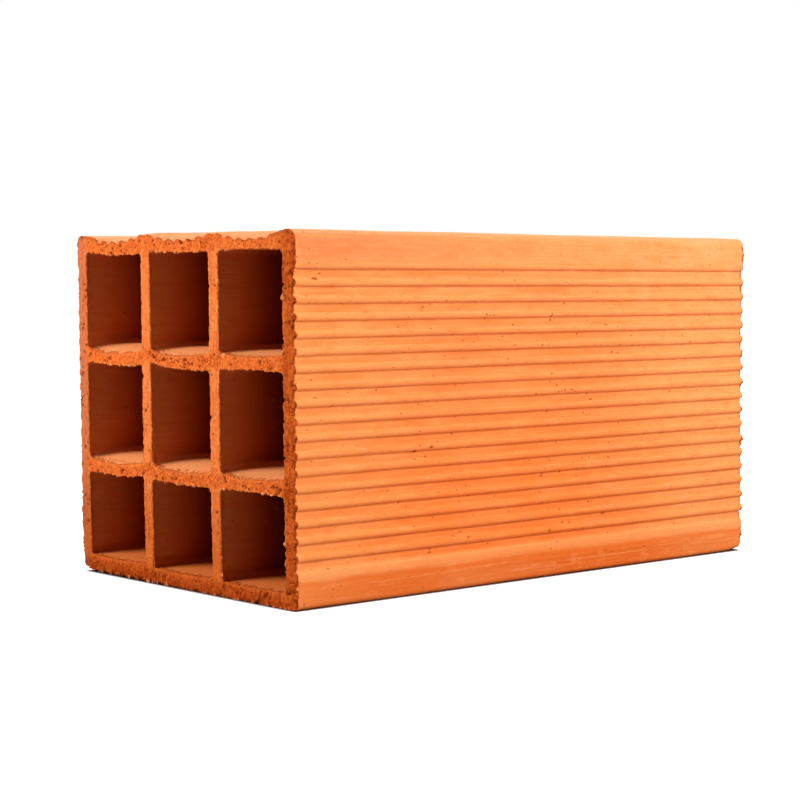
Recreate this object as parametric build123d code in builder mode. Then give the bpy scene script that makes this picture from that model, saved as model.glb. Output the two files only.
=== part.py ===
from build123d import *

import os
from math import asin, cos, sin

# Hollow clay brick, extruded, wire-cut and fired as one piece.
# X runs along the cells, Z is up, and the origin is in the middle of the underside.

# Overall size
length = 330.0
width = 180.0
height = 180.0

# Rounded corners and the plain bands beside them
corner_radius = 5.0
band_width = 20.0
foot_height = 12.5
foot_taper = 0.8

# Ridges on the four long faces
ridge_pitch = 8.15
ridge_width = 4.6
ridge_height = 1.5

# Walls and webs around the nine cells
side_wall = 8.7
upright_web = 7.6
floor_wall = 8.0
level_web = 9.5
lower_cell_height = 45.75
middle_cell_height = 49.0
roof_wall = 9.5
cell_corner_radius = 2.5

cell_columns = 3
cell_width = (width - 2 * side_wall - (cell_columns - 1) * upright_web) / cell_columns
column_step = cell_width + upright_web
upper_cell_height = height - floor_wall - lower_cell_height - middle_cell_height - roof_wall - 2 * level_web

# A ridge is an arc on this radius, which turns through this angle from its crest to its foot
ridge_radius = (ridge_width**2 / 4 + ridge_height**2) / (2 * ridge_height)
ridge_angle = asin(ridge_width / (2 * ridge_radius))


def ridged_face(corner, along, inward, size):
    """Draw one long face between its two corner bands, and return the lips of the bands."""

    def at(place, depth):
        return corner + along * place + inward * depth

    ridge_count = int((size - 2 * band_width) / ridge_pitch)
    first_crest = (size - (ridge_count - 1) * ridge_pitch) / 2
    half_place = ridge_radius * sin(ridge_angle / 2)
    half_depth = ridge_radius * (1 - cos(ridge_angle / 2))

    # The band rounds off at a lip, one pitch before the first ridge
    near_lip = first_crest - ridge_pitch
    foot = at(near_lip + ridge_width / 2, ridge_height)
    ThreePointArc(at(near_lip, 0), at(near_lip + half_place, half_depth), foot)

    # Ridges with a flat valley before each
    for ridge in range(ridge_count):
        crest = first_crest + ridge * ridge_pitch
        near_foot = at(crest - ridge_width / 2, ridge_height)
        far_foot = at(crest + ridge_width / 2, ridge_height)
        Line(foot, near_foot)
        ThreePointArc(near_foot, at(crest, 0), far_foot)
        foot = far_foot

    # The lip of the far band, one pitch after the last ridge
    far_lip = first_crest + ridge_count * ridge_pitch
    near_foot = at(far_lip - ridge_width / 2, ridge_height)
    Line(foot, near_foot)
    ThreePointArc(near_foot, at(far_lip - half_place, half_depth), at(far_lip, 0))
    return at(near_lip, 0), at(far_lip, 0)


with BuildPart() as clay_brick:
    with BuildSketch(Plane.YZ) as section:
        half_width = width / 2
        with BuildLine():
            # The four faces, counter-clockwise from the underside
            right = Vector(1, 0)
            up = Vector(0, 1)
            low_left = Vector(-half_width, 0)
            low_right = Vector(half_width, 0)
            top_right = Vector(half_width, height)
            top_left = Vector(-half_width, height)
            underside = ridged_face(low_left, right, up, width)
            right_side = ridged_face(low_right, up, -right, height)
            top = ridged_face(top_right, -right, -up, width)
            left_side = ridged_face(top_left, -up, right, height)

            # Corner bands, which taper towards the foot of the brick
            foot_right = low_right - right * foot_taper
            foot_left = low_left + right * foot_taper
            Polyline(underside[1], foot_right, low_right + up * foot_height, right_side[0])
            Polyline(right_side[1], top_right, top[0])
            Polyline(top[1], top_left, left_side[0])
            Polyline(left_side[1], low_left + up * foot_height, foot_left, underside[0])
        make_face()
        corners = [foot_right, top_right, top_left, foot_left]
        fillet([section.vertices().sort_by_distance(corner)[0] for corner in corners], corner_radius)

        # Three rows of cells, from the lowest up
        row_floor = floor_wall
        for cell_height in (lower_cell_height, middle_cell_height, upper_cell_height):
            with Locations((0, row_floor + cell_height / 2)):
                with GridLocations(column_step, 0, cell_columns, 1):
                    RectangleRounded(cell_width, cell_height, cell_corner_radius, mode=Mode.SUBTRACT)
            row_floor += cell_height + level_web
    extrude(amount=length / 2, both=True)

clay_brick.part.label = "clay_brick"

os.makedirs("parts", exist_ok=True)
export_step(clay_brick.part, "parts/clay_brick.step")
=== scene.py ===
import math
import random

import bpy
from mathutils import Euler, Matrix, Vector, noise
from mathutils.geometry import delaunay_2d_cdt
from mathutils.kdtree import KDTree


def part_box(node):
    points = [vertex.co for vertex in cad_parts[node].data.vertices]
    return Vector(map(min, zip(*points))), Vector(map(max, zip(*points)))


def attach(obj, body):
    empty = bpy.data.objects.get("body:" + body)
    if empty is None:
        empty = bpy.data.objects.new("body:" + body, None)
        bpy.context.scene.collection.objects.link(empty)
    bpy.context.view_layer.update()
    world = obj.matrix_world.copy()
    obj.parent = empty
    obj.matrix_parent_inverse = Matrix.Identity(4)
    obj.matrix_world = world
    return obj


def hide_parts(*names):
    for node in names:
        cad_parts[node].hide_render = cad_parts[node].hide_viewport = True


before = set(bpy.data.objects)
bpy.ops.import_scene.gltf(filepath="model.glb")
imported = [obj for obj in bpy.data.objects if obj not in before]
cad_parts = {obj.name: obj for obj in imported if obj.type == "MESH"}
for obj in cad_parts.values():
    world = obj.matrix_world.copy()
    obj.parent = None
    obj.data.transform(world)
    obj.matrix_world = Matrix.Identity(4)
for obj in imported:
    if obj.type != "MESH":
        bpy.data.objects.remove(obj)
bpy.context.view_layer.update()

MM = 0.001

# The brick's box, from its solid in model.glb
low, high = (Vector(corner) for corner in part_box("clay_brick"))
middle = (low + high) / 2
length = high.x - low.x

# The wire cuts lean and skew a little, as slopes of the cut per unit of height and of width
near_lean = math.tan(math.radians(-0.67))
near_skew = math.tan(math.radians(-2.0))
far_lean = math.tan(math.radians(-0.91))

# The wire goes through the soft clay downwards and to the right, and drags its edges along
wire_way = Vector((-0.6, -0.8))
drag_reach = 22 * MM
wall_fade = 20 * MM
side_flare = 1.3 * MM
flare_reach = 5 * MM
flare_rise = (40 * MM, 10 * MM)
left_press = 0.9 * MM
roof_press = 0.45 * MM
smear_height = 2 * MM

# Shares of the near end's flare, ragged edges and burrs that the calmer far end has
far_flare = 0.15
far_ragged = 0.3
far_burrs = 0.2

# The sag of the roof, the lift of the lowest floors, and the drag of the floors and the droop of the ceilings
# from the lowest row up, each from the right column to the left
roof_sags = (3.4 * MM, 3.4 * MM, 3.9 * MM)
left_edge_sag = 0.25 * roof_sags[2]
left_sag_reach = 5 * drag_reach
floor_lifts = (0.3 * MM, 0.5 * MM, 1.7 * MM)
floor_drags = (
    (1.4 * MM, 1.4 * MM, 1.4 * MM),
    (4.3 * MM, 5.4 * MM, 4.8 * MM),
    (3.2 * MM, 4.9 * MM, 5.6 * MM),
)
ceiling_droops = (
    (-0.2 * MM, 0.7 * MM, 0.4 * MM),
    (-0.7 * MM, 1.2 * MM, 1.0 * MM),
    (-0.4 * MM, 0.8 * MM, 2.1 * MM),
)

# How these run across a cell, from its left wall to its right one
roof_shape = [(-0.08, 0), (0.1, 0.5), (0.3, 0.92), (0.5, 1), (0.7, 0.92), (0.9, 0.5), (1.08, 0)]
left_roof_shape = [(-0.08, 0.28)] + roof_shape[1:]
floor_shape = [(0, 0.4), (0.12, 0.78), (0.25, 0.97), (0.4, 1), (0.65, 0.9), (0.8, 0.75), (1, 0.5)]
ceiling_shape = [(0, 0), (0.15, 0.5), (0.5, 1), (0.85, 0.9), (1, 0.5)]
lift_shape = [(0, 1), (1, 1)]

# Where clay broke out under the webs, as places across and up the cut and how far the edge went up with it,
# and how wide, low and high a break reaches
break_outs = ((24.6 * MM, 112.2 * MM, 2.4 * MM), (32.2 * MM, 53.7 * MM, 1.8 * MM))
break_width = 12 * MM
break_below = 14 * MM
break_above = 9 * MM

# Wear of the lower edges at the cuts: the end and the side, the stretches across and upward over which it sets in,
# its reach behind the cut, and how far it moves the clay along which axis
edge_wear = (
    ("near", 1, (0, 80 * MM), (9 * MM, 1 * MM), 2 * drag_reach, 1.2 * MM, "Z"),
    ("near", 1, (80 * MM, 89 * MM), (12 * MM, 1 * MM), 2 * drag_reach, 2.0 * MM, "Z"),
    ("near", 1, (82 * MM, 89 * MM), (22 * MM, 2 * MM), 2 * drag_reach, -1.6 * MM, "Y"),
    ("far", -1, (80 * MM, 89 * MM), (12 * MM, 1 * MM), 14 * MM, 2.3 * MM, "Z"),
    ("far", -1, (82 * MM, 89 * MM), (22 * MM, 2 * MM), 16 * MM, 1.0 * MM, "Y"),
)

# Relief of the torn clay, in lumps of a height and a size each
swell_height, swell_size = 0.9 * MM, 9 * MM
ragged_height, ragged_size = 1.6 * MM, 2.4 * MM
grain_height, grain_size = 0.9 * MM, 2.0 * MM
wave_height, wave_size = 0.7 * MM, 60 * MM

# How far behind the cut the clay is torn over a plain edge and over a floor, and how far its edges are ragged
edge_tear = 2.4 * MM
floor_tear = 9 * MM
ragged_reach = 3.0 * MM

# Burrs, flakes and pits, with the smallest and the largest radius of each
burr_count, burr_radii, burr_height = 420, (0.7 * MM, 1.4 * MM), 1.1 * MM
flake_radii, flake_height = (1.2 * MM, 2.2 * MM), 1.1 * MM
pit_count, pit_radii, pit_depth = 1000, (0.5 * MM, 1.3 * MM), 1.4 * MM
pit_clusters_per_metre = 70
spot_reach = 6 * MM

# Flakes that hang on the edges of the near cut, as places across and up
flakes_at = (
    (-90 * MM, 125 * MM),
    (-90 * MM, 11 * MM),
    (-36.5 * MM, 121.7 * MM),
    (-32.2 * MM, 155 * MM),
    (-81.3 * MM, 148 * MM),
    (-81.3 * MM, 31 * MM),
    (-81.3 * MM, 22 * MM),
)

# The foot: its lower corners are sharper than the upper ones, and a shallow crease runs along its top
foot_height = 12.5 * MM
foot_corner = 5.2 * MM
foot_corner_width = 6.2 * MM
foot_sharpening = 2.5 * MM
crease_width = 2.6 * MM
crease_depth = 0.3 * MM

# The ridges of the long faces, between plain bands at the corners
groove_depth = 1.5 * MM
plain_band = 18 * MM
top_skin = 2 * MM

# The walls that the wire leaves last, from where they begin to where they count in full,
# the fade at the ends of the uprights, and a height between the lowest floors and the upper ones
late_wall = (11 * MM, 7 * MM)
late_bottom = (9 * MM, 3 * MM)
upright_fade = 2 * MM
lowest_row = 40 * MM

# The tips of the ridges at the upper rim of the cuts, which get painted shade
teeth_low = 2.4 * MM
teeth_high = 0.8 * MM
teeth_reach = 6 * MM

# Steps of the mesh: fine at the torn ends, coarse along the brick
grain_step = 0.92 * MM
end_rings = [0.8 * MM, 1.8 * MM, 3.2 * MM, 5.5 * MM, 9 * MM, 14 * MM, 22 * MM]
body_step = 40 * MM
touching = 0.01 * MM
smooth_below = math.radians(50)
grain_seed = 7
tear_seed = 23


# Working on one piece

def pick(piece):
    bpy.ops.object.select_all(action="DESELECT")
    piece.select_set(True)
    bpy.context.view_layer.objects.active = piece


def edit(piece, mode="VERT"):
    pick(piece)
    bpy.ops.object.mode_set(mode="EDIT")
    bpy.ops.mesh.select_mode(type=mode)
    bpy.ops.mesh.select_all(action="DESELECT")
    bpy.ops.object.mode_set(mode="OBJECT")


def select_faces(piece, test):
    edit(piece, "FACE")
    for face in piece.data.polygons:
        face.select = test(face)
    bpy.ops.object.mode_set(mode="EDIT")


def select_edges(piece, test):
    edit(piece, "EDGE")
    points = piece.data.vertices
    for line in piece.data.edges:
        start, end = (points[index].co for index in line.vertices)
        line.select = test(start, end)
    bpy.ops.object.mode_set(mode="EDIT")


def leave_edit():
    bpy.ops.object.mode_set(mode="OBJECT")


def merge_all(piece):
    edit(piece)
    bpy.ops.object.mode_set(mode="EDIT")
    bpy.ops.mesh.select_all(action="SELECT")
    bpy.ops.mesh.remove_doubles(threshold=touching)
    bpy.ops.mesh.normals_make_consistent(inside=False)
    leave_edit()


def join_to(piece, others):
    pick(piece)
    for other in others:
        other.select_set(True)
    bpy.ops.object.join()


# The outlines of the cut end, taken from the solid

def end_outlines():
    """The outer outline and the nine cell outlines at the near end, as one mesh of lines."""
    pick(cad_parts["clay_brick"])
    bpy.ops.object.duplicate()
    solid = bpy.context.active_object
    edit(solid)
    bpy.ops.object.mode_set(mode="EDIT")
    bpy.ops.mesh.select_all(action="SELECT")
    bpy.ops.mesh.remove_doubles(threshold=touching)
    leave_edit()
    select_faces(solid, lambda face: abs(face.center.x - low.x) < touching)
    bpy.ops.mesh.region_to_loop()
    bpy.ops.mesh.duplicate()
    bpy.ops.mesh.separate(type="SELECTED")
    leave_edit()
    outlines = next(piece for piece in bpy.context.selected_objects if piece is not solid)
    bpy.data.objects.remove(solid)
    outlines.name = "fired_brick"
    outlines.data.name = "fired_brick"

    # Divide each straight stretch into steps as long as the grain
    points = outlines.data.vertices
    lengths = [(points[a].co - points[b].co).length for a, b in (line.vertices for line in outlines.data.edges)]
    for steps in range(2, math.ceil(max(lengths) / grain_step) + 1):
        select_edges(outlines, lambda a, b: math.ceil((a - b).length / grain_step) == steps)
        bpy.ops.mesh.subdivide(number_cuts=steps - 1)
        leave_edit()
    return outlines


def loops_of(piece):
    """The closed loops of a mesh of lines, each a list of vertex indices, the longest first."""
    neighbours = {}
    for line in piece.data.edges:
        a, b = line.vertices
        neighbours.setdefault(a, []).append(b)
        neighbours.setdefault(b, []).append(a)
    loops = []
    left = set(neighbours)
    while left:
        loop = [left.pop()]
        ahead = [v for v in neighbours[loop[0]] if v in left]
        while ahead:
            loop.append(ahead[0])
            left.discard(ahead[0])
            ahead = [v for v in neighbours[loop[-1]] if v in left]
        loops.append(loop)
    return sorted(loops, key=len, reverse=True)


# The cut end faces

def crossings(rim, loops, z):
    """Where a level line crosses the outlines, from one side to the other."""
    places = []
    for loop in loops:
        for start, end in zip(loop, loop[1:] + loop[:1]):
            a, b = rim[start], rim[end]
            if (a.y > z) != (b.y > z):
                places.append(a.x + (z - a.y) * (b.x - a.x) / (b.y - a.y))
    return sorted(places)


def end_face(outlines, loops):
    """A fine mesh over the clay of the near end, with points scattered between the outlines."""
    rim = [Vector((v.co.y, v.co.z)) / MM for v in outlines.data.vertices]
    rim_lines = [tuple(line.vertices) for line in outlines.data.edges]
    near_rim = KDTree(len(rim))
    for index, point in enumerate(rim):
        near_rim.insert((point.x, point.y, 0), index)
    near_rim.balance()

    draw = random.Random(grain_seed)
    step = grain_step / MM
    points = list(rim)
    z = low.z / MM
    while z < high.z / MM:
        z += step * math.sqrt(3) / 2
        sides = crossings(rim, loops, z)
        for start, end in zip(sides[::2], sides[1::2]):
            y = start + step * draw.random()
            while y < end:
                point = Vector((y + draw.uniform(-0.2, 0.2) * step, z + draw.uniform(-0.2, 0.2) * step))
                if near_rim.find((point.x, point.y, 0))[2] > 0.6 * step:
                    points.append(point)
                y += step
    placed, _, faces, origins, _, _ = delaunay_2d_cdt(points, rim_lines, [], 1, 1e-5)

    # Leave out the triangles that close a cell
    loop_of = {vertex: number for number, loop in enumerate(loops) for vertex in loop}
    kept = []
    for face in faces:
        owners = {loop_of.get(origins[corner][0], -1) for corner in face}
        if len(owners) > 1 or owners <= {0, -1}:
            kept.append(face)
    mesh = bpy.data.meshes.new("end_face")
    mesh.from_pydata([(low.x, point.x * MM, point.y * MM) for point in placed], [], kept)
    face = bpy.data.objects.new("end_face", mesh)
    bpy.context.collection.objects.link(face)
    return face


# The long walls

def draw_out(piece, loop_points, rings):
    """Extrude some of the outlines along the brick, ring by ring."""
    edit(piece, "EDGE")
    for line in piece.data.edges:
        line.select = all(index in loop_points for index in line.vertices)
    bpy.ops.object.mode_set(mode="EDIT")
    before = 0
    for ring in rings:
        bpy.ops.mesh.extrude_region_move(TRANSFORM_OT_translate={"value": (ring - before, 0, 0)})
        before = ring
    leave_edit()


def both_ends(inner=()):
    """How far the rings of a wall lie from the near cut, close together at both ends."""
    return end_rings + list(inner) + [length - ring for ring in reversed(end_rings)] + [length]


def cut_brick():
    """The brick as it leaves the die, square and smooth, and the outlines of its section."""
    brick = end_outlines()
    loops = loops_of(brick)
    outlines = [[Vector((brick.data.vertices[v].co.y, brick.data.vertices[v].co.z)) for v in loop] for loop in loops]
    near_face = end_face(brick, loops)
    far_face = near_face.copy()
    far_face.data = near_face.data.copy()
    bpy.context.collection.objects.link(far_face)
    far_face.location.x = length

    outer = set(loops[0])
    cells = set(range(len(brick.data.vertices))) - outer
    draw_out(brick, cells, both_ends())
    gap = length - 2 * end_rings[-1]
    count = round(gap / body_step)
    draw_out(brick, outer, both_ends(end_rings[-1] + gap * number / count for number in range(1, count)))
    join_to(brick, [near_face, far_face])
    merge_all(brick)
    return brick, outlines


# Where a point of the brick lies

class Place:
    """A point's depth behind the nearer cut, its outline if it lies on one, and the way its wall faces."""

    def __init__(self, point, depth):
        self.y = point.y
        self.z = point.z
        self.near = point.x < middle.x
        self.depth = depth
        self.loop = None
        self.facing = Vector((0, 0))


def find_places(brick, outlines):
    spots = [(loop, spot) for loop, outline in enumerate(outlines) for spot in outline]
    on_outline = KDTree(len(spots))
    for index, (loop, spot) in enumerate(spots):
        on_outline.insert((spot.x, spot.y, 0), index)
    on_outline.balance()

    places = []
    spot_of = []
    facing = {}
    for vertex in brick.data.vertices:
        point = vertex.co
        place = Place(point, min(point.x - low.x, high.x - point.x))
        _, spot, gap = on_outline.find((point.y, point.z, 0))
        spot_of.append(spot)
        if gap < touching:
            place.loop = spots[spot][0]
            if place.near and abs(place.depth - end_rings[2]) < touching:
                facing[spot] = Vector((vertex.normal.y, vertex.normal.z)).normalized()
        places.append(place)
    for place, spot in zip(places, spot_of):
        place.facing = facing[spot]
    return places


# Moving the clay

def push(brick, name, weights, strength, direction="NORMAL", texture=None):
    """Displace the points that have a weight, either evenly or both ways after a texture."""
    group = brick.vertex_groups.new(name=name)
    for index, weight in enumerate(weights):
        if weight > 0.001:
            group.add([index], min(weight, 1), "REPLACE")
    pick(brick)
    move = brick.modifiers.new(name, "DISPLACE")
    move.vertex_group = group.name
    move.strength = strength
    move.direction = direction
    move.mid_level = 0.5 if texture else 0
    if texture:
        move.texture = texture
        move.texture_coords = "LOCAL"
    bpy.ops.object.modifier_apply(modifier=move.name)
    brick.vertex_groups.clear()


def lumps(name, size, detail=1, contrast=1.0):
    texture = bpy.data.textures.new(name, "CLOUDS")
    texture.noise_scale = size
    texture.noise_depth = detail
    texture.contrast = contrast
    return texture


def fade(depth, reach):
    return max(0, 1 - depth / reach) ** 2


def between(value, start, end):
    """How far a value has gone from start to end, from none to one."""
    return min(max((value - start) / (end - start), 0), 1)


def between_keys(keys, value):
    for (start, first), (end, last) in zip(keys, keys[1:]):
        if value <= end:
            return first + (last - first) * between(value, start, end)
    return keys[-1][1]


def cell_spans(outlines, axis):
    """Where the columns or the rows of cells begin and end."""
    spans = {
        (round(min(p[axis] for p in cell), 5), round(max(p[axis] for p in cell), 5))
        for cell in outlines[1:]
    }
    return sorted(spans)


def keys_across(columns, shape, amounts, left_edge=0):
    """A shape repeated over the columns of cells, each with its own amount, and none at the right face."""
    keys = [(low.y, 0)]
    for (start, end), amount in zip(columns, amounts):
        keys += [(end - place * (end - start), amount * share) for place, share in reversed(shape)]
    return keys + [(high.y, left_edge)]


def drops(outlines, places):
    """How far each point sinks towards the cuts, which drag floors, ceilings and the roof down."""
    columns = cell_spans(outlines, 0)
    rows = cell_spans(outlines, 1)
    below = [low.z] + [ceiling for _, ceiling in rows]
    above = [floor for floor, _ in rows[1:]] + [high.z]
    pulls = []
    for number, (floor, ceiling) in enumerate(rows):
        upward = [(below[number], 0), (floor, 1), (floor + wall_fade, 0)]
        pulls.append((keys_across(columns, floor_shape, floor_drags[number]), upward, drag_reach))
        upward = [(ceiling - wall_fade, 0), (ceiling, 1), (above[number], 0)]
        pulls.append((keys_across(columns, ceiling_shape, ceiling_droops[number]), upward, drag_reach))
    upward = [(below[-1], 0), (high.z - top_skin, 1)]
    pulls.append((keys_across(columns, roof_shape, roof_sags[:2] + (0,)), upward, drag_reach))
    across = keys_across(columns, left_roof_shape, (0, 0) + roof_sags[2:], left_edge_sag)
    pulls.append((across, upward, left_sag_reach))
    for y, z, rise in break_outs:
        across = [(y - break_width, 0), (y, -rise), (y + break_width, 0)]
        upward = [(z - break_below, 0), (z, 1), (z + break_above, 0)]
        pulls.append((across, upward, drag_reach / 2))
    return [
        sum(
            between_keys(across, place.y) * between_keys(upward, place.z) * fade(place.depth, reach)
            for across, upward, reach in pulls
        )
        for place in places
    ]


def lifts(outlines, places):
    """How far the lowest floors lie higher, all along the brick."""
    floor = cell_spans(outlines, 1)[0][0]
    across = keys_across(cell_spans(outlines, 0), lift_shape, floor_lifts)
    upward = [(low.z + groove_depth, 0), (floor, 1), (floor + wall_fade, 0)]
    return [
        0 if place.loop == 0 else between_keys(across, place.y) * between_keys(upward, place.z)
        for place in places
    ]


def move_up_and_down(brick, name, moves):
    """Move each point up by its own amount, or down where that is negative."""
    for way in (1, -1):
        most = max(way * move for move in moves)
        if most > 0:
            push(brick, name, [way * move / most for move in moves], way * most, "Z")


def in_foot_corner(place):
    from_side = min(place.y - low.y, high.y - place.y)
    return place.loop == 0 and place.z - low.z < foot_corner and from_side < foot_corner_width


def wear_weights(places, near, side, across, upward, reach):
    """How far a lower edge of one end is worn, from none to one."""
    return [
        between(side * place.y, *across) * between(place.z - low.z, *upward) * fade(place.depth, reach)
        if place.near == near else 0
        for place in places
    ]


def crease_weights(places):
    """One along the top of the foot, on the two sides."""
    return [
        max(0, 1 - ((place.z - low.z - foot_height) / crease_width) ** 2)
        if place.loop == 0 and abs(place.facing.x) > 0.7 else 0
        for place in places
    ]


def smear_weights(places):
    """How far the wire presses the ridges of the underside flat at the cut, as a share of their depth."""
    weights = []
    for place in places:
        beneath = place.loop == 0 and place.facing.y < -0.3 and place.z < smear_height
        ridged = abs(place.y) < high.y - plain_band / 2
        weights.append(place.z / smear_height * fade(place.depth, flare_reach) if beneath and ridged else 0)
    return weights


def press_weights(places):
    """How far the wire presses the ridges of the left side in where it enters, as a share of their depth."""
    return [
        between(place.y, high.y - groove_depth, high.y) * fade(place.depth, flare_reach)
        if place.loop == 0 and place.facing.x > 0 else 0
        for place in places
    ]


def roof_press_weights(places):
    """How far the wire presses the ridges of the roof down where it enters, as a share of their depth."""
    return [
        between(place.z, high.z - groove_depth, high.z) * fade(place.depth, flare_reach)
        if place.loop == 0 and place.facing.y > 0 and abs(place.y) < high.y - plain_band else 0
        for place in places
    ]


def flare_weights(places):
    """How far the wire draws the edges to its right, most at the foot and less at the far end."""
    weights = []
    for place in places:
        weight = max(0, -place.facing.x) if place.loop == 0 else 0
        if place.loop:
            weight = abs(place.facing.x) * (0.3 + 0.7 * between(place.z - low.z, *flare_rise))
        weights.append(weight * fade(place.depth, flare_reach) * (1 if place.near else far_flare))
    return weights


def torn_weights(places):
    """One on the cut face, fading over its edges: least where the wire meets them, and most on floors."""
    weights = []
    for place in places:
        weight = (0.3 + 0.5 * max(0, place.facing.dot(wire_way))) * fade(place.depth, edge_tear)
        if place.loop and place.facing.y > 0.5:
            weight = 0.75 * fade(place.depth, floor_tear)
        weights.append(1 if place.loop is None else weight)
    return weights


def upright_weights(outlines, places):
    """One on the upright webs between the cells, where the cut is smooth, and none on level webs and outer walls."""
    columns = cell_spans(outlines, 0)
    rows = cell_spans(outlines, 1)
    weights = []
    for place in places:
        share = max(
            min(
                between(place.z, floor - upright_fade, floor + upright_fade),
                between(place.z, ceiling + upright_fade, ceiling - upright_fade),
            )
            for floor, ceiling in rows
        )
        weights.append(share if columns[0][0] < place.y < columns[-1][1] else 0)
    return weights


def late_weights(places):
    """One on the walls that the wire leaves last, which are the right one and the lowest."""
    return [
        max(between(place.y - low.y, *late_wall), 0.95 * between(place.z - low.z, *late_bottom))
        for place in places
    ]


def ragged_weights(places):
    """Strong on the edges that the wire leaves last and along the uprights, weak on those that it meets first."""
    weights = []
    for place in places:
        weight = 0.2 + 0.8 * max(0, place.facing.dot(wire_way)) + (0.3 * abs(place.facing.x) if place.loop else 0)
        weight *= fade(place.depth, ragged_reach) * (1 if place.near else far_ragged)
        weights.append(0 if place.loop is None else weight)
    return weights


def groove_weights(places):
    """How deep a point of the long faces lies between the ridges, from none to one."""
    weights = []
    for place in places:
        across = min(place.y - low.y, high.y - place.y)
        upward = min(place.z - low.z, high.z - place.z)
        ridged = place.loop == 0 and max(across, upward) > plain_band
        weights.append(between(min(across, upward), 0, groove_depth) if ridged else 0)
    return weights


def spot_weights(brick, places, draw, chosen, radius, depth):
    """Small round patches at chosen points, each a share of the most."""
    points = brick.data.vertices
    near_ends = [index for index, place in enumerate(places) if place.depth < spot_reach]
    tree = KDTree(len(near_ends))
    for index in near_ends:
        tree.insert(points[index].co, index)
    tree.balance()
    weights = [0] * len(places)
    for index in chosen:
        size = draw.uniform(*radius)
        strength = draw.uniform(*depth)
        for _, other, gap in tree.find_range(points[index].co, size):
            weights[other] = max(weights[other], strength * (1 - (gap / size) ** 2))
    return weights


def sharpen_foot(brick, places):
    """Fill the rounding of the lower corners, and press the crease in above them."""
    for side in (-1, 1):
        outward = [1 - abs(place.facing.x) if in_foot_corner(place) and side * place.y > 0 else 0 for place in places]
        push(brick, "foot", outward, side * foot_sharpening, "Y")
    downward = [1 - abs(place.facing.y) if in_foot_corner(place) else 0 for place in places]
    push(brick, "foot", downward, -foot_sharpening, "Z")
    push(brick, "crease", crease_weights(places), -crease_depth)


def drag_ends(brick, outlines, places):
    """Drag, wear and press the two ends as the wire did."""
    move_up_and_down(brick, "drag", [-drop for drop in drops(outlines, places)])
    move_up_and_down(brick, "lift", lifts(outlines, places))
    for end, side, across, upward, reach, move, axis in edge_wear:
        push(brick, "wear", wear_weights(places, end == "near", side, across, upward, reach), move, axis)
    push(brick, "smear", smear_weights(places), -smear_height, "Z")
    push(brick, "press", press_weights(places), -left_press, "Y")
    push(brick, "press", roof_press_weights(places), -roof_press, "Z")
    push(brick, "flare", flare_weights(places), -side_flare, "Y")


def pit_odds(faces, places, upright, late):
    """Pits gather in clusters, more in the level webs and the last walls than in the uprights."""
    odds = []
    for index in faces:
        spot = Vector((0, places[index].y, places[index].z)) * pit_clusters_per_metre
        clustered = 0.1 + between(noise.noise(spot), 0, 0.45)
        odds.append((1 - 0.6 * upright[index] + 0.4 * late[index]) * clustered)
    return odds


def place_marks(places):
    """Marks that follow from where a point lies: in a cell, a groove, the upper rim, the roof or an upper floor; they
    carry painted shade in the cells and on the tips of the rim, and painted light on the roof and the upper floors.
    """
    cell, floors, teeth, roof = [], [], [], []
    for place in places:
        upper = place.z > lowest_row
        rising = max(0, place.facing.y)
        # The cell mark carries painted shade inside the cells, less on their floors
        cell.append(1 - rising * (0.95 if upper else 0.62) if place.loop else 0)
        # The floors mark carries painted light on the upper floors
        floors.append(rising if place.loop and upper else 0)
        # The teeth mark carries painted shade on the tips at the upper rim
        rim = between(place.z, high.z - teeth_low, high.z - teeth_high)
        teeth.append(rim * fade(place.depth, teeth_reach))
        # The roof mark carries a painted sheen on the top face
        roof.append(rising if place.loop == 0 and place.z > high.z - top_skin else 0)
    return {"cell": cell, "floors": floors, "teeth": teeth, "roof": roof, "groove": groove_weights(places)}


def roughen_ends(brick, outlines, places):
    """Tear and pit the two ends, and return marks on the points for the material."""
    draw = random.Random(tear_seed)
    torn = torn_weights(places)
    late = late_weights(places)
    upright = upright_weights(outlines, places)
    push(brick, "swell", torn, swell_height, texture=lumps("swell", swell_size))
    push(brick, "ragged", ragged_weights(places), ragged_height, texture=lumps("ragged", ragged_size, 3, 1.5))

    # Burrs on the edges that the wire leaves, and the flakes
    rims = [index for index, place in enumerate(places) if place.loop is not None and place.depth < touching]
    odds = []
    for index in rims:
        leaving = max(0, places[index].facing.dot(wire_way)) ** 2
        odds.append((0.005 + leaving) * (1 if places[index].near else far_burrs))
    burrs = spot_weights(brick, places, draw, draw.choices(rims, odds, k=burr_count), burr_radii, (0.2, 1))
    push(brick, "burrs", burrs, burr_height)
    near_rims = [index for index in rims if places[index].near]
    hung = [
        min(near_rims, key=lambda index: math.hypot(places[index].y - y, places[index].z - z))
        for y, z in flakes_at
    ]
    flakes = spot_weights(brick, places, draw, hung, flake_radii, (0.8, 1))
    push(brick, "flakes", flakes, flake_height)

    # Pits and grain on the cuts, and slow waves along the outside
    faces = [index for index, place in enumerate(places) if place.loop is None]
    pitted = draw.choices(faces, pit_odds(faces, places, upright, late), k=pit_count)
    pits = spot_weights(brick, places, draw, pitted, pit_radii, (0.3, 1))
    push(brick, "pits", pits, -pit_depth)
    rough = [share * (0.5 + 0.5 * last) * (1 - 0.6 * smooth) for share, last, smooth in zip(torn, late, upright)]
    push(brick, "grain", rough, grain_height, texture=lumps("grain", grain_size, 2, 1.4))
    outside = [1 if place.loop == 0 else 0 for place in places]
    push(brick, "waves", outside, wave_height, texture=lumps("waves", wave_size))
    marks = {"torn": torn, "pits": pits, "crumbs": burrs, "late": late, "upright": upright, "flakes": flakes}
    return marks | place_marks(places)


def stand_flat(brick):
    """Press what hangs below the floor back up to it."""
    edit(brick)
    for point in brick.data.vertices:
        point.select = point.co.z < low.z
    bpy.ops.object.mode_set(mode="EDIT")
    bpy.ops.transform.resize(value=(1, 1, 0), center_override=(0, 0, low.z))
    leave_edit()


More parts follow.
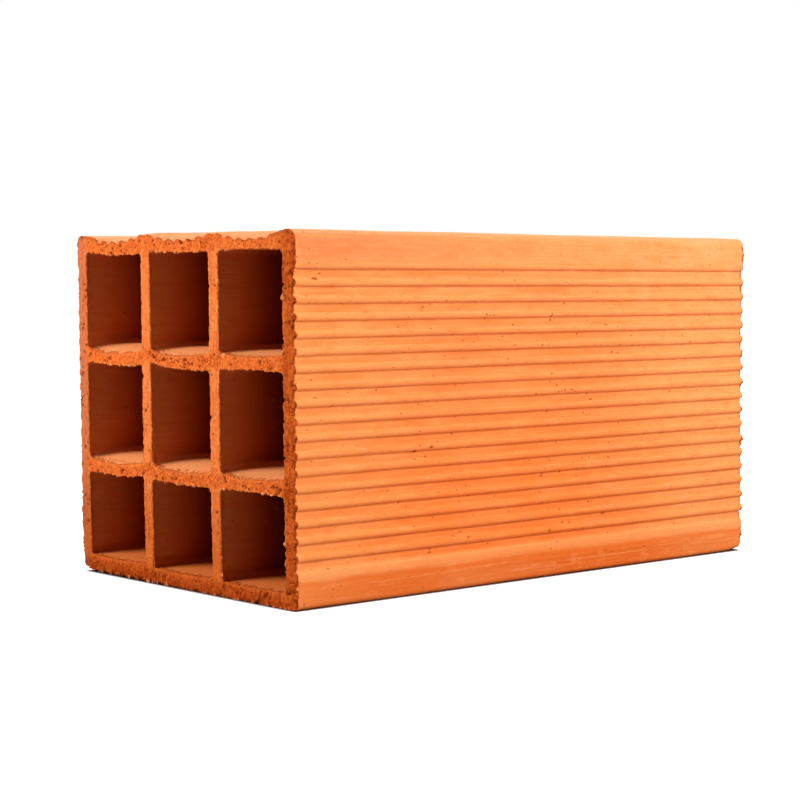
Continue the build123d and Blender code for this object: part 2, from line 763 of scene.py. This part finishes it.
def lean_ends(brick):
    """Lean and skew the two cut ends with a cage of eight points around the brick."""
    bpy.ops.object.add(type="LATTICE", location=middle)
    cage = bpy.context.active_object
    cage.scale = high - low
    for direction in "uvw":
        setattr(cage.data, "points_" + direction, 2)
        setattr(cage.data, "interpolation_type_" + direction, "KEY_LINEAR")
    for point in cage.data.points:
        place = point.co
        if place.x < 0:
            slope = near_lean * place.z * cage.scale.z + near_skew * place.y * cage.scale.y
        else:
            slope = far_lean * place.z * cage.scale.z
        point.co_deform.x += slope / cage.scale.x
    pick(brick)
    bend = brick.modifiers.new("lean", "LATTICE")
    bend.object = cage
    bpy.ops.object.modifier_apply(modifier=bend.name)
    bpy.data.objects.remove(cage)


def keep_on_points(brick, name, values):
    """Keep a number on each point, for the material."""
    numbers = brick.data.attributes.new(name, "FLOAT", "POINT")
    numbers.data.foreach_set("value", values)


brick, outlines = cut_brick()
places = find_places(brick, outlines)
sharpen_foot(brick, places)
drag_ends(brick, outlines, places)
marks = roughen_ends(brick, outlines, places)
stand_flat(brick)
lean_ends(brick)
for name, values in marks.items():
    keep_on_points(brick, name, values)
pick(brick)
bpy.ops.object.shade_smooth_by_angle(angle=smooth_below)

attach(brick, "root")
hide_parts("clay_brick")


# Colours of the fired clay's skin: its ground from foot to top, with painted shade deeper towards the foot, then the
# tones by place, among them painted light and shade
shaded_skin_foot = (0.95, 0.205, 0.036, 1)
skin_top = (0.94, 0.315, 0.102, 1)
near_tone = (0.95, 0.328, 0.096, 1)
far_light_tone = (0.96, 0.352, 0.112, 1)
upper_corner_shade_tone = (0.88, 0.235, 0.085, 1)
foot_shade_tone = (0.73, 0.118, 0.012, 1)
roof_sheen_tone = (0.90, 0.44, 0.215, 1)
band_highlight_tone = (0.98, 0.375, 0.125, 1)
crease_shade_tone = (0.72, 0.120, 0.016, 1)
groove_shade_tone = (0.70, 0.125, 0.010, 1)
cell_mouth_shade_tone = (0.42, 0.060, 0.002, 1)
cell_deep_shade_tone = (0.14, 0.017, 0.002, 1)
floor_light_tone = (0.98, 0.375, 0.150, 1)

# Its patterns, a dark and a pale one of each where there are two
broad_tones = (0.88, 0.235, 0.062, 1), (0.95, 0.365, 0.125, 1)
mottle_tones = (0.86, 0.195, 0.036, 1), (0.98, 0.40, 0.125, 1)
streak_tones = (0.82, 0.205, 0.045, 1), (0.96, 0.41, 0.155, 1)
far_patch_and_light_tone = (0.97, 0.44, 0.195, 1)
scuff_tone = (0.98, 0.50, 0.235, 1)
dust_tone = (0.80, 0.185, 0.037, 1)
fine_speck_tone = (0.46, 0.085, 0.012, 1)
speck_tone = (0.34, 0.055, 0.006, 1)

# Colours of the torn clay, and the two painted shades that it is multiplied by
torn_tones = (0.56, 0.078, 0.009, 1), (0.92, 0.220, 0.042, 1)
upright_lit_tones = (0.84, 0.180, 0.037, 1), (0.97, 0.285, 0.076, 1)
patch_tone = (0.82, 0.150, 0.024, 1)
wire_mark_tone = (0.58, 0.080, 0.008, 1)
left_wall_tone = (0.57, 0.160, 0.066, 1)
lower_shade = (0.78, 0.66, 0.50, 1)
late_shade = (0.61, 0.44, 0.20, 1)
shaded_and_pale_crumb_tones = (0.36, 0.045, 0.004, 1), (0.97, 0.40, 0.15, 1)
pore_shade_tone = (0.28, 0.034, 0.004, 1)
pit_shade_tone = (0.22, 0.027, 0.003, 1)
flake_tone = (0.96, 0.33, 0.095, 1)
teeth_shade_tone = (0.44, 0.088, 0.022, 1)


# Materials

class Nodes:
    """A material's nodes, made and linked by short calls."""

    def __init__(self, name):
        self.material = bpy.data.materials.new(name)
        self.material.use_nodes = True
        self.tree = self.material.node_tree
        self.shader = self.tree.nodes["Principled BSDF"]

    def link(self, value, socket):
        if hasattr(value, "links"):
            self.tree.links.new(value, socket)
        else:
            socket.default_value = value

    def node(self, kind, values=(), **settings):
        node = self.tree.nodes.new(kind)
        for name, value in settings.items():
            setattr(node, name, value)
        for name, value in dict(values).items():
            self.link(value, node.inputs[name])
        return node

    def attribute(self, name):
        return self.node("ShaderNodeAttribute", attribute_name=name).outputs["Fac"]

    def stretched(self, scale):
        """Object coordinates, scaled along each axis."""
        place = self.node("ShaderNodeTexCoord").outputs["Object"]
        return self.node("ShaderNodeMapping", {"Vector": place, "Scale": scale}).outputs["Vector"]

    def noise(self, scale, detail=2.0, roughness=0.5):
        vector = self.stretched(scale if isinstance(scale, tuple) else (scale,) * 3)
        values = {"Vector": vector, "Scale": 1.0, "Detail": detail, "Roughness": roughness}
        return self.node("ShaderNodeTexNoise", values).outputs["Fac"]

    def ramp(self, value, start, end, first=0.0, last=1.0):
        values = {"Value": value, "From Min": start, "From Max": end, "To Min": first, "To Max": last}
        return self.node("ShaderNodeMapRange", values, interpolation_type="SMOOTHSTEP").outputs["Result"]

    def maths(self, operation, *values):
        node = self.node("ShaderNodeMath", operation=operation)
        for value, socket in zip(values, node.inputs):
            self.link(value, socket)
        return node.outputs["Value"]

    def vector(self, operation, *values):
        node = self.node("ShaderNodeVectorMath", operation=operation)
        for value, socket in zip(values, node.inputs):
            self.link(value, socket)
        return node.outputs["Vector"]

    def mix(self, share, first, second, blend="MIX"):
        node = self.node("ShaderNodeMix", data_type="RGBA", blend_type=blend)
        self.link(share, node.inputs["Factor"])
        self.link(first, node.inputs[6])
        self.link(second, node.inputs[7])
        return node.outputs[2]

    def specks(self, scale, rarity, size):
        """Ragged spots in a few of the cells of a scattered pattern, drawn out as the scale is."""
        place = self.stretched(scale)
        wobble = self.node("ShaderNodeTexNoise", {"Vector": place, "Scale": 2.2, "Detail": 2.0}).outputs["Color"]
        place = self.vector("MULTIPLY_ADD", wobble, (0.8, 0.8, 0.8), place)
        pattern = self.node("ShaderNodeTexVoronoi", {"Vector": place, "Scale": 1.0})
        chance = self.node("ShaderNodeSeparateColor", {"Color": pattern.outputs["Color"]}).outputs["Red"]
        radius = self.ramp(chance, rarity, 1.0, 0.0, size)
        gap = self.maths("SUBTRACT", radius, pattern.outputs["Distance"])
        return self.ramp(gap, 0.0, 0.15)


def die_skin(n, place, streaks):
    """The skin that the die leaves, outside and in the cells."""
    groove = n.attribute("groove")
    from_middle = n.maths("ABSOLUTE", place["X"])

    # Painted shade deeper towards the foot, yellower near the cut, painted light towards the far end, painted shade
    # on the upper corner near the cut and on the foot, most along the middle, with broad changes of tone
    skin = n.mix(n.ramp(place["Z"], 0.0, 0.175), shaded_skin_foot, skin_top)
    below_top = n.ramp(place["Z"], 0.175, 0.14, 0.35, 0.95)
    skin = n.mix(n.maths("MULTIPLY", below_top, n.ramp(place["X"], -0.06, -0.165)), skin, near_tone)
    # Painted light: lighter towards the far end
    skin = n.mix(n.ramp(place["X"], 0.02, 0.15, 0.0, 0.85), skin, far_light_tone)
    # Painted shade along the upper corner towards the near cut
    upper_corner_shade = n.maths("MULTIPLY", n.ramp(place["Z"], 0.160, 0.170), n.ramp(place["X"], 0.04, -0.12, 0.0, 0.9))
    skin = n.mix(upper_corner_shade, skin, upper_corner_shade_tone)
    # Painted shade on the foot, most along the middle of the brick
    foot = n.maths("MULTIPLY", n.ramp(place["Z"], 0.015, 0.009), n.ramp(from_middle, 0.165, 0.06, 0.5, 0.95))
    skin = n.mix(foot, skin, foot_shade_tone)
    broad = n.noise((7, 16, 16), 3)
    skin = n.mix(n.ramp(broad, 0.50, 0.70, 0.0, 0.4), skin, broad_tones[0])
    skin = n.mix(n.ramp(broad, 0.50, 0.30, 0.0, 0.3), skin, broad_tones[1])

    # Mottling, fine streaks along the brick, scuffs, and pale patches towards the far top, partly painted light where
    # the far end is lit more
    mottle = n.noise((90, 260, 260), 3, 0.6)
    skin = n.mix(n.ramp(mottle, 0.50, 0.72, 0.0, 0.35), skin, mottle_tones[0])
    skin = n.mix(n.ramp(mottle, 0.50, 0.30, 0.0, 0.25), skin, mottle_tones[1])
    skin = n.mix(n.ramp(streaks, 0.50, 0.75, 0.0, 0.45), skin, streak_tones[0])
    skin = n.mix(n.ramp(streaks, 0.48, 0.28, 0.0, 0.35), skin, streak_tones[1])
    far = n.maths("MULTIPLY", n.ramp(place["X"], -0.02, 0.15), n.ramp(place["Z"], 0.09, 0.17))
    far_patches_and_light = n.maths("MULTIPLY", far, n.ramp(n.noise((34, 50, 50), 3, 0.6), 0.48, 0.72, 0.0, 0.45))
    skin = n.mix(far_patches_and_light, skin, far_patch_and_light_tone)
    scuffs = n.ramp(n.noise((45, 420, 420), 3, 0.55), 0.68, 0.76, 0.0, 0.5)
    skin = n.mix(scuffs, skin, scuff_tone)

    # A painted highlight on the band above the crease of the foot, painted shade in the crease and in the grooves,
    # all uneven along the brick
    uneven = n.noise((26, 90, 90), 3, 0.6)
    level = n.maths("MULTIPLY_ADD", uneven, 0.004, place["Z"])
    band_highlight = n.maths("MULTIPLY", n.ramp(level, 0.0145, 0.017), n.ramp(level, 0.023, 0.020, 0.0, 0.45))
    skin = n.mix(band_highlight, skin, band_highlight_tone)
    # Painted shade in the crease of the foot
    line = n.maths("MULTIPLY", n.ramp(level, 0.0115, 0.0135), n.ramp(level, 0.0160, 0.0140, 0.0, 0.5))
    skin = n.mix(line, skin, crease_shade_tone)
    # Painted shade in the grooves between the ridges, less towards the far end
    deep = n.maths("MULTIPLY", n.ramp(groove, 0.45, 1.0), n.ramp(uneven, 0.35, 0.65, 0.08, 0.4))
    deep = n.maths("MULTIPLY", deep, n.ramp(place["X"], 0.0, 0.15, 1.0, 0.1))
    skin = n.mix(deep, skin, groove_shade_tone)
    # A painted sheen on the top face, paler where it is lit from above
    skin = n.mix(n.maths("MULTIPLY", n.attribute("roof"), 0.6), skin, roof_sheen_tone)
    dust = n.ramp(n.noise(900, 2, 0.6), 0.35, 0.65, 0.0, 0.22)
    skin = n.mix(dust, skin, dust_tone)

    # Painted shade makes the cells darker and browner inside, most of all deep in, and painted light makes them paler
    # on their floors
    inside = n.mix(n.ramp(from_middle, 0.150, 0.118), cell_mouth_shade_tone, cell_deep_shade_tone)
    depth = n.ramp(from_middle, 0.165, 0.13, 0.55, 1.0)
    skin = n.mix(n.maths("MULTIPLY", n.attribute("cell"), depth), skin, inside)
    skin = n.mix(n.maths("MULTIPLY", n.attribute("floors"), 0.5), skin, floor_light_tone)

    # Specks, thicker in clusters and in the grooves, fewer at the far end
    gathered = n.ramp(n.noise((16, 30, 30), 2), 0.42, 0.62, 0.15, 0.9)
    cluster = n.maths("ADD", gathered, n.maths("MULTIPLY", groove, 0.3))
    cluster = n.maths("MULTIPLY", cluster, n.ramp(place["X"], -0.02, 0.15, 1.0, 0.45))
    skin = n.mix(n.maths("MULTIPLY", n.specks((400, 600, 600), 0.80, 0.38), cluster), skin, fine_speck_tone)
    return n.mix(n.maths("MULTIPLY", n.specks((190, 320, 320), 0.90, 0.34), cluster), skin, speck_tone)


def torn_clay(n, place):
    """The colour and the fine relief of the cuts: redder and grainy, smooth and lighter on the uprights, partly a
    painted highlight where they bulge to the light.
    """
    late = n.attribute("late")
    upright = n.attribute("upright")
    grain = n.noise(600, 4, 0.65)
    raw = n.mix(n.ramp(grain, 0.32, 0.66), *torn_tones)
    smooth = n.mix(n.ramp(grain, 0.32, 0.66), *upright_lit_tones)
    # Lighter on the uprights, partly a painted highlight
    raw = n.mix(n.maths("MULTIPLY", upright, 0.75), raw, smooth)
    patches = n.noise(70, 2)
    raw = n.mix(n.ramp(patches, 0.4, 0.7, 0.0, 0.4), raw, patch_tone)

    # Marks of the wire, a duller left wall, and painted shade low down and where the wire left last
    wire_marks = n.noise((500, 500, 70), 2, 0.6)
    dragged = n.maths("MULTIPLY", n.ramp(wire_marks, 0.48, 0.68), n.maths("MULTIPLY_ADD", late, 0.35, 0.4))
    raw = n.mix(dragged, raw, wire_mark_tone)
    raw = n.mix(n.ramp(place["Y"], 0.080, 0.084, 0.0, 0.7), raw, left_wall_tone)
    lower = n.maths("MULTIPLY", n.ramp(place["Z"], 0.075, 0.02), n.ramp(place["Y"], -0.083, -0.077))
    raw = n.mix(lower, raw, lower_shade, "MULTIPLY")
    raw = n.mix(n.maths("MULTIPLY", late, n.ramp(patches, 0.25, 0.7, 0.9, 0.5)), raw, late_shade, "MULTIPLY")

    # Pale crumbs with painted shade on those at the right rim, pores and pits darkened with painted shade, pale
    # flakes, and painted shade on the tips of the upper rim
    rim_shaded_crumb = n.mix(n.ramp(place["Y"], -0.0885, -0.0865), *shaded_and_pale_crumb_tones)
    raw = n.mix(n.ramp(n.attribute("crumbs"), 0.2, 0.7, 0.0, 0.6), raw, rim_shaded_crumb)
    pores = n.specks((360, 360, 360), 0.66, 0.42)
    # Painted shade darkens the pores and the pits
    raw = n.mix(n.maths("MULTIPLY", pores, n.maths("MULTIPLY_ADD", upright, -0.5, 0.9)), raw, pore_shade_tone)
    raw = n.mix(n.ramp(n.attribute("pits"), 0.2, 0.7, 0.0, 0.9), raw, pit_shade_tone)
    raw = n.mix(n.ramp(n.attribute("flakes"), 0.1, 0.6, 0.0, 0.8), raw, flake_tone)
    # Painted shade on the tips of the ridges at the upper rim
    raw = n.mix(n.maths("MULTIPLY", n.attribute("teeth"), 0.6), raw, teeth_shade_tone)
    height = n.maths("MULTIPLY_ADD", grain, 0.5 * MM, n.maths("MULTIPLY", wire_marks, 0.4 * MM))
    return raw, n.maths("MULTIPLY_ADD", pores, -0.6 * MM, height)


def fired_clay():
    """Skin outside and in the cells, torn clay on the cuts, with an uneven edge between them."""
    n = Nodes("fired_clay")
    place = n.node("ShaderNodeSeparateXYZ", {"Vector": n.stretched((1, 1, 1))}).outputs
    streaks = n.noise((14, 1000, 1000), 3, 0.6)
    skin = die_skin(n, place, streaks)
    raw, raw_height = torn_clay(n, place)
    frayed = n.maths("ADD", n.attribute("torn"), n.ramp(n.noise(300, 2), 0.2, 0.8, -0.25, 0.25))
    edge = n.ramp(frayed, 0.2, 0.5)
    n.link(n.mix(edge, skin, raw), n.shader.inputs["Base Color"])
    n.link(n.ramp(streaks, 0.3, 0.7, 0.84, 0.95), n.shader.inputs["Roughness"])
    n.shader.inputs["Specular IOR Level"].default_value = 0.04

    # Fine relief
    height = n.maths("MULTIPLY_ADD", raw_height, edge, n.maths("MULTIPLY", streaks, 0.08 * MM))
    bump = n.node("ShaderNodeBump", {"Height": height, "Strength": 1.0, "Distance": 1.0})
    n.link(bump.outputs["Normal"], n.shader.inputs["Normal"])
    return n.material


brick.data.materials.clear()
brick.data.materials.append(fired_clay())


# Floor, white to the camera, where it keeps the brick's shadow, and grey to the light that it throws back.
# A painted contact shadow, a thin dark line, follows the brick's footprint, a little inside its edges
bpy.ops.mesh.primitive_plane_add(size=8)
floor = bpy.context.active_object
floor.name = "floor"
paper = Nodes("paper")
seen = paper.node("ShaderNodeLightPath").outputs["Is Camera Ray"]
spot = paper.node("ShaderNodeSeparateXYZ", {"Vector": paper.stretched((1, 1, 1))}).outputs
far_inset, right_inset, left_inset = 4 * MM, 1 * MM, 9 * MM
near_edge = low.x - near_lean * middle.z
far_edge = high.x - far_lean * middle.z - far_inset
ahead = paper.maths("SUBTRACT", paper.maths("MULTIPLY_ADD", spot["Y"], near_skew, near_edge), spot["X"])
ahead = paper.maths("MAXIMUM", ahead, paper.maths("SUBTRACT", spot["X"], far_edge))
right_gap = paper.maths("SUBTRACT", low.y + right_inset, spot["Y"])
left_gap = paper.maths("SUBTRACT", spot["Y"], high.y - left_inset)
aside = paper.maths("MAXIMUM", right_gap, left_gap)
distance = paper.maths("MAXIMUM", paper.maths("MAXIMUM", ahead, aside), 0.0)
glow = paper.maths("ADD", paper.ramp(distance, 0.001, 0.005, 0, 0.5), paper.ramp(distance, 0.01, 0.3, 0, 0.5))
# Painted contact shadow: near black at the footprint's edge, white beyond
white_with_contact_shadow = paper.mix(paper.ramp(distance, 0.0, 0.004), (0.03, 0.03, 0.03, 1), (0.9, 0.9, 0.9, 1))
paper.link(paper.mix(seen, (0.4, 0.4, 0.4, 1), white_with_contact_shadow), paper.shader.inputs["Base Color"])
paper.shader.inputs["Roughness"].default_value = 1
paper.shader.inputs["Specular IOR Level"].default_value = 0
paper.link((1, 1, 1, 1), paper.shader.inputs["Emission Color"])
paper.link(paper.maths("MULTIPLY", seen, glow), paper.shader.inputs["Emission Strength"])
floor.data.materials.append(paper.material)

# Camera, its focal length in widths of the picture
focal_length = 1948 / 800
camera_data = bpy.data.cameras.new("camera")
camera_data.sensor_width = 36
camera_data.lens = focal_length * camera_data.sensor_width
camera = bpy.data.objects.new("camera", camera_data)
bpy.context.collection.objects.link(camera)
camera.location = (-0.7204, -0.8097, 0.1584)
yaw = math.radians(49.09)
pitch = math.radians(3.66)
roll = math.radians(0.175)
level = Euler((math.radians(90) - pitch, 0, yaw - math.radians(90))).to_matrix()
camera.rotation_euler = (level @ Matrix.Rotation(roll, 3, "Z")).to_euler()
bpy.context.scene.camera = camera


# Light

def softbox(name, location, size, power):
    bpy.ops.object.light_add(type="AREA", location=location)
    lamp = bpy.context.active_object
    lamp.name = name
    lamp.data.energy = power
    lamp.data.size = size
    lamp.rotation_euler = (middle - lamp.location).to_track_quat("-Z", "Y").to_euler()


softbox("key", (0.12, -0.90, 0.70), 0.6, 13.5)
softbox("fill", (-0.95, 0.42, 0.62), 0.6, 13.5)
softbox("back", (1.10, 1.00, 0.90), 0.8, 30)
world = bpy.data.worlds.new("studio")
world.use_nodes = True
sky = world.node_tree.nodes["Background"]
sky.inputs["Color"].default_value = (1, 1, 1, 1)
paths = world.node_tree.nodes.new("ShaderNodeLightPath")
strength = world.node_tree.nodes.new("ShaderNodeMapRange")
world.node_tree.links.new(paths.outputs["Is Camera Ray"], strength.inputs["Value"])
strength.inputs["To Min"].default_value = 0.06
strength.inputs["To Max"].default_value = 1.0
world.node_tree.links.new(strength.outputs["Result"], sky.inputs["Strength"])
bpy.context.scene.world = world
bpy.context.scene.view_settings.view_transform = "Standard"
